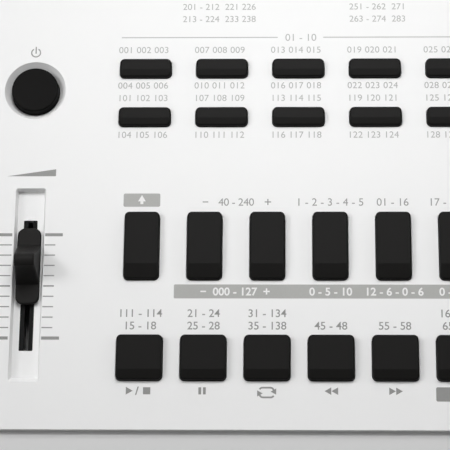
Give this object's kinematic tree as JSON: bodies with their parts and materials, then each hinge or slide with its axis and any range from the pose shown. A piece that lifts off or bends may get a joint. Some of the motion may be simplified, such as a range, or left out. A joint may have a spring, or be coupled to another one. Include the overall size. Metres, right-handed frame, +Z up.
{
  "type": "arranger keyboard",
  "caption": "Portable arranger keyboard: white case, sloped control panel with black push buttons and a volume fader, display, two speakers and sprung keys in comb mouldings.",
  "frame": {"origin": "on the table under the middle of the case", "axes": "+X to the player's right along the keys, +Y to the rear, +Z up"},
  "size_m": [0.946, 0.378, 0.1117],
  "materials": {
    "white_panel": "fine satin texture, printed grey legends",
    "white_case": "satin moulded",
    "grey_case": "fine texture, moulded",
    "black_cap": "satin black, moulded",
    "key_white": "gloss, moulded",
    "key_black": "satin, moulded",
    "chassis": "moulded",
    "circuit_board": "solder mask",
    "rubber": "moulded",
    "contact_rubber": "moulded silicone",
    "steel": "zinc plated",
    "grille": "moulded, satin",
    "driver": "black basket and paper cone",
    "display": "liquid crystal display",
    "clear_window": "clear acrylic",
    "socket_black": "moulded",
    "felt": "wool felt",
    "flat_cable": "grey ribbon"
  },
  "bodies": {
    "instrument_body": {"upper_case": "white_case", "lower_case": "grey_case", "control_panel": "white_panel", "case_screws": "steel", "rubber_feet": "rubber", "volume_slide_pot": "chassis", "panel_boards": "circuit_board", "display_window": "clear_window", "display_module": "display", "keybed_frame": "chassis", "key_felts": "felt", "key_contact_board": "circuit_board", "rubber_contact_strips": "contact_rubber", "main_board": "circuit_board", "ribbon_cables": "flat_cable", "speaker_grilles": "grille", "speaker_drivers": "driver", "rear_jack_panel": "socket_black"},
    "power_button": {"power_button": "black_cap"},
    "volume_fader": {"volume_fader": "black_cap"},
    "style_button_1": {"style_button_1": "black_cap"},
    "style_button_2": {"style_button_2": "black_cap"},
    "style_button_3": {"style_button_3": "black_cap"},
    "style_button_4": {"style_button_4": "black_cap"},
    "style_button_5": {"style_button_5": "black_cap"},
    "style_button_6": {"style_button_6": "black_cap"},
    "style_button_7": {"style_button_7": "black_cap"},
    "style_button_8": {"style_button_8": "black_cap"},
    "style_button_9": {"style_button_9": "black_cap"},
    "style_button_10": {"style_button_10": "black_cap"},
    "shift_button": {"shift_button": "black_cap"},
    "tempo_down_button": {"tempo_down_button": "black_cap"},
    "tempo_up_button": {"tempo_up_button": "black_cap"},
    "metronome_button": {"metronome_button": "black_cap"},
    "mixer_button": {"mixer_button": "black_cap"},
    "harmony_button": {"harmony_button": "black_cap"},
    "start_stop_button": {"start_stop_button": "black_cap"},
    "sync_start_button": {"sync_start_button": "black_cap"},
    "intro_ending_button": {"intro_ending_button": "black_cap"},
    "fill_a_button": {"fill_a_button": "black_cap"},
    "fill_b_button": {"fill_b_button": "black_cap"},
    "chord_button": {"chord_button": "black_cap"},
    "voice_buttons": {"voice_buttons": "black_cap"},
    "keypad_buttons": {"keypad_buttons": "black_cap"},
    "natural_comb_cegb_1": {"natural_comb_cegb_1": "key_white"},
    "natural_comb_dfa_1": {"natural_comb_dfa_1": "key_white"},
    "sharp_comb_1": {"sharp_comb_1": "key_black"},
    "natural_comb_cegb_2": {"natural_comb_cegb_2": "key_white"},
    "natural_comb_dfa_2": {"natural_comb_dfa_2": "key_white"},
    "sharp_comb_2": {"sharp_comb_2": "key_black"},
    "natural_comb_cegb_3": {"natural_comb_cegb_3": "key_white"},
    "natural_comb_dfa_3": {"natural_comb_dfa_3": "key_white"},
    "sharp_comb_3": {"sharp_comb_3": "key_black"},
    "natural_comb_cegb_4": {"natural_comb_cegb_4": "key_white"},
    "natural_comb_dfa_4": {"natural_comb_dfa_4": "key_white"},
    "sharp_comb_4": {"sharp_comb_4": "key_black"},
    "natural_comb_cegb_5": {"natural_comb_cegb_5": "key_white"},
    "natural_comb_dfa_5": {"natural_comb_dfa_5": "key_white"},
    "sharp_comb_5": {"sharp_comb_5": "key_black"}
  },
  "joints": [
    {"name": "power_press", "type": "slide", "parent": "instrument_body", "child": "power_button", "axis": [0, 0.1045, -0.9945], "range_m": [0, 0.002], "stiffness_N_per_m": 350, "springref_m": -0.002},
    {"name": "volume_slide", "type": "slide", "parent": "instrument_body", "child": "volume_fader", "axis": [0, 0.9945, 0.1045], "range_m": [-0.0196, 0.0104]},
    {"name": "style_1_press", "type": "slide", "parent": "instrument_body", "child": "style_button_1", "axis": [0, 0.1045, -0.9945], "range_m": [0, 0.001], "stiffness_N_per_m": 300, "springref_m": -0.002},
    {"name": "style_2_press", "type": "slide", "parent": "instrument_body", "child": "style_button_2", "axis": [0, 0.1045, -0.9945], "range_m": [0, 0.001], "stiffness_N_per_m": 300, "springref_m": -0.002},
    {"name": "style_3_press", "type": "slide", "parent": "instrument_body", "child": "style_button_3", "axis": [0, 0.1045, -0.9945], "range_m": [0, 0.001], "stiffness_N_per_m": 300, "springref_m": -0.002},
    {"name": "style_4_press", "type": "slide", "parent": "instrument_body", "child": "style_button_4", "axis": [0, 0.1045, -0.9945], "range_m": [0, 0.001], "stiffness_N_per_m": 300, "springref_m": -0.002},
    {"name": "style_5_press", "type": "slide", "parent": "instrument_body", "child": "style_button_5", "axis": [0, 0.1045, -0.9945], "range_m": [0, 0.001], "stiffness_N_per_m": 300, "springref_m": -0.002},
    {"name": "style_6_press", "type": "slide", "parent": "instrument_body", "child": "style_button_6", "axis": [0, 0.1045, -0.9945], "range_m": [0, 0.001], "stiffness_N_per_m": 300, "springref_m": -0.002},
    {"name": "style_7_press", "type": "slide", "parent": "instrument_body", "child": "style_button_7", "axis": [0, 0.1045, -0.9945], "range_m": [0, 0.001], "stiffness_N_per_m": 300, "springref_m": -0.002},
    {"name": "style_8_press", "type": "slide", "parent": "instrument_body", "child": "style_button_8", "axis": [0, 0.1045, -0.9945], "range_m": [0, 0.001], "stiffness_N_per_m": 300, "springref_m": -0.002},
    {"name": "style_9_press", "type": "slide", "parent": "instrument_body", "child": "style_button_9", "axis": [0, 0.1045, -0.9945], "range_m": [0, 0.001], "stiffness_N_per_m": 300, "springref_m": -0.002},
    {"name": "style_10_press", "type": "slide", "parent": "instrument_body", "child": "style_button_10", "axis": [0, 0.1045, -0.9945], "range_m": [0, 0.001], "stiffness_N_per_m": 300, "springref_m": -0.002},
    {"name": "shift_press", "type": "slide", "parent": "instrument_body", "child": "shift_button", "axis": [0, 0.1045, -0.9945], "range_m": [0, 0.001], "stiffness_N_per_m": 300, "springref_m": -0.002},
    {"name": "tempo_down_press", "type": "slide", "parent": "instrument_body", "child": "tempo_down_button", "axis": [0, 0.1045, -0.9945], "range_m": [0, 0.001], "stiffness_N_per_m": 300, "springref_m": -0.002},
    {"name": "tempo_up_press", "type": "slide", "parent": "instrument_body", "child": "tempo_up_button", "axis": [0, 0.1045, -0.9945], "range_m": [0, 0.001], "stiffness_N_per_m": 300, "springref_m": -0.002},
    {"name": "metronome_press", "type": "slide", "parent": "instrument_body", "child": "metronome_button", "axis": [0, 0.1045, -0.9945], "range_m": [0, 0.001], "stiffness_N_per_m": 300, "springref_m": -0.002},
    {"name": "mixer_press", "type": "slide", "parent": "instrument_body", "child": "mixer_button", "axis": [0, 0.1045, -0.9945], "range_m": [0, 0.001], "stiffness_N_per_m": 300, "springref_m": -0.002},
    {"name": "harmony_press", "type": "slide", "parent": "instrument_body", "child": "harmony_button", "axis": [0, 0.1045, -0.9945], "range_m": [0, 0.001], "stiffness_N_per_m": 300, "springref_m": -0.002},
    {"name": "start_stop_press", "type": "slide", "parent": "instrument_body", "child": "start_stop_button", "axis": [0, 0.1045, -0.9945], "range_m": [0, 0.001], "stiffness_N_per_m": 300, "springref_m": -0.002},
    {"name": "sync_start_press", "type": "slide", "parent": "instrument_body", "child": "sync_start_button", "axis": [0, 0.1045, -0.9945], "range_m": [0, 0.001], "stiffness_N_per_m": 300, "springref_m": -0.002},
    {"name": "intro_ending_press", "type": "slide", "parent": "instrument_body", "child": "intro_ending_button", "axis": [0, 0.1045, -0.9945], "range_m": [0, 0.001], "stiffness_N_per_m": 300, "springref_m": -0.002},
    {"name": "fill_a_press", "type": "slide", "parent": "instrument_body", "child": "fill_a_button", "axis": [0, 0.1045, -0.9945], "range_m": [0, 0.001], "stiffness_N_per_m": 300, "springref_m": -0.002},
    {"name": "fill_b_press", "type": "slide", "parent": "instrument_body", "child": "fill_b_button", "axis": [0, 0.1045, -0.9945], "range_m": [0, 0.001], "stiffness_N_per_m": 300, "springref_m": -0.002},
    {"name": "chord_press", "type": "slide", "parent": "instrument_body", "child": "chord_button", "axis": [0, 0.1045, -0.9945], "range_m": [0, 0.001], "stiffness_N_per_m": 300, "springref_m": -0.002},
    {"name": "voice_buttons_press", "type": "slide", "parent": "instrument_body", "child": "voice_buttons", "axis": [0, 0.1045, -0.9945], "range_m": [0, 0.001], "stiffness_N_per_m": 900, "springref_m": -0.002},
    {"name": "keypad_buttons_press", "type": "slide", "parent": "instrument_body", "child": "keypad_buttons", "axis": [0, 0.1045, -0.9945], "range_m": [0, 0.001], "stiffness_N_per_m": 900, "springref_m": -0.002},
    {"name": "natural_comb_cegb_1_hinge", "type": "hinge", "parent": "instrument_body", "child": "natural_comb_cegb_1", "pos_m": [0, -0.02, 0.042], "axis": [1, 0, 0], "range_deg": [0, 3.6], "stiffness_Nm_per_rad": 1.6, "springref_deg": -9.17},
    {"name": "natural_comb_dfa_1_hinge", "type": "hinge", "parent": "instrument_body", "child": "natural_comb_dfa_1", "pos_m": [0, -0.01, 0.047], "axis": [1, 0, 0], "range_deg": [0, 3.6], "stiffness_Nm_per_rad": 1.6, "springref_deg": -9.17},
    {"name": "sharp_comb_1_hinge", "type": "hinge", "parent": "instrument_body", "child": "sharp_comb_1", "pos_m": [0, 0, 0.052], "axis": [1, 0, 0], "range_deg": [0, 3.6], "stiffness_Nm_per_rad": 1.6, "springref_deg": -9.17},
    {"name": "natural_comb_cegb_2_hinge", "type": "hinge", "parent": "instrument_body", "child": "natural_comb_cegb_2", "pos_m": [0, -0.02, 0.042], "axis": [1, 0, 0], "range_deg": [0, 3.6], "stiffness_Nm_per_rad": 1.6, "springref_deg": -9.17},
    {"name": "natural_comb_dfa_2_hinge", "type": "hinge", "parent": "instrument_body", "child": "natural_comb_dfa_2", "pos_m": [0, -0.01, 0.047], "axis": [1, 0, 0], "range_deg": [0, 3.6], "stiffness_Nm_per_rad": 1.6, "springref_deg": -9.17},
    {"name": "sharp_comb_2_hinge", "type": "hinge", "parent": "instrument_body", "child": "sharp_comb_2", "pos_m": [0, 0, 0.052], "axis": [1, 0, 0], "range_deg": [0, 3.6], "stiffness_Nm_per_rad": 1.6, "springref_deg": -9.17},
    {"name": "natural_comb_cegb_3_hinge", "type": "hinge", "parent": "instrument_body", "child": "natural_comb_cegb_3", "pos_m": [0, -0.02, 0.042], "axis": [1, 0, 0], "range_deg": [0, 3.6], "stiffness_Nm_per_rad": 1.6, "springref_deg": -9.17},
    {"name": "natural_comb_dfa_3_hinge", "type": "hinge", "parent": "instrument_body", "child": "natural_comb_dfa_3", "pos_m": [0, -0.01, 0.047], "axis": [1, 0, 0], "range_deg": [0, 3.6], "stiffness_Nm_per_rad": 1.6, "springref_deg": -9.17},
    {"name": "sharp_comb_3_hinge", "type": "hinge", "parent": "instrument_body", "child": "sharp_comb_3", "pos_m": [0, 0, 0.052], "axis": [1, 0, 0], "range_deg": [0, 3.6], "stiffness_Nm_per_rad": 1.6, "springref_deg": -9.17},
    {"name": "natural_comb_cegb_4_hinge", "type": "hinge", "parent": "instrument_body", "child": "natural_comb_cegb_4", "pos_m": [0, -0.02, 0.042], "axis": [1, 0, 0], "range_deg": [0, 3.6], "stiffness_Nm_per_rad": 1.6, "springref_deg": -9.17},
    {"name": "natural_comb_dfa_4_hinge", "type": "hinge", "parent": "instrument_body", "child": "natural_comb_dfa_4", "pos_m": [0, -0.01, 0.047], "axis": [1, 0, 0], "range_deg": [0, 3.6], "stiffness_Nm_per_rad": 1.6, "springref_deg": -9.17},
    {"name": "sharp_comb_4_hinge", "type": "hinge", "parent": "instrument_body", "child": "sharp_comb_4", "pos_m": [0, 0, 0.052], "axis": [1, 0, 0], "range_deg": [0, 3.6], "stiffness_Nm_per_rad": 1.6, "springref_deg": -9.17},
    {"name": "natural_comb_cegb_5_hinge", "type": "hinge", "parent": "instrument_body", "child": "natural_comb_cegb_5", "pos_m": [0, -0.02, 0.042], "axis": [1, 0, 0], "range_deg": [0, 3.6], "stiffness_Nm_per_rad": 1.6, "springref_deg": -9.17},
    {"name": "natural_comb_dfa_5_hinge", "type": "hinge", "parent": "instrument_body", "child": "natural_comb_dfa_5", "pos_m": [0, -0.01, 0.047], "axis": [1, 0, 0], "range_deg": [0, 3.6], "stiffness_Nm_per_rad": 1.6, "springref_deg": -9.17},
    {"name": "sharp_comb_5_hinge", "type": "hinge", "parent": "instrument_body", "child": "sharp_comb_5", "pos_m": [0, 0, 0.052], "axis": [1, 0, 0], "range_deg": [0, 3.6], "stiffness_Nm_per_rad": 1.6, "springref_deg": -9.17}
  ]
}
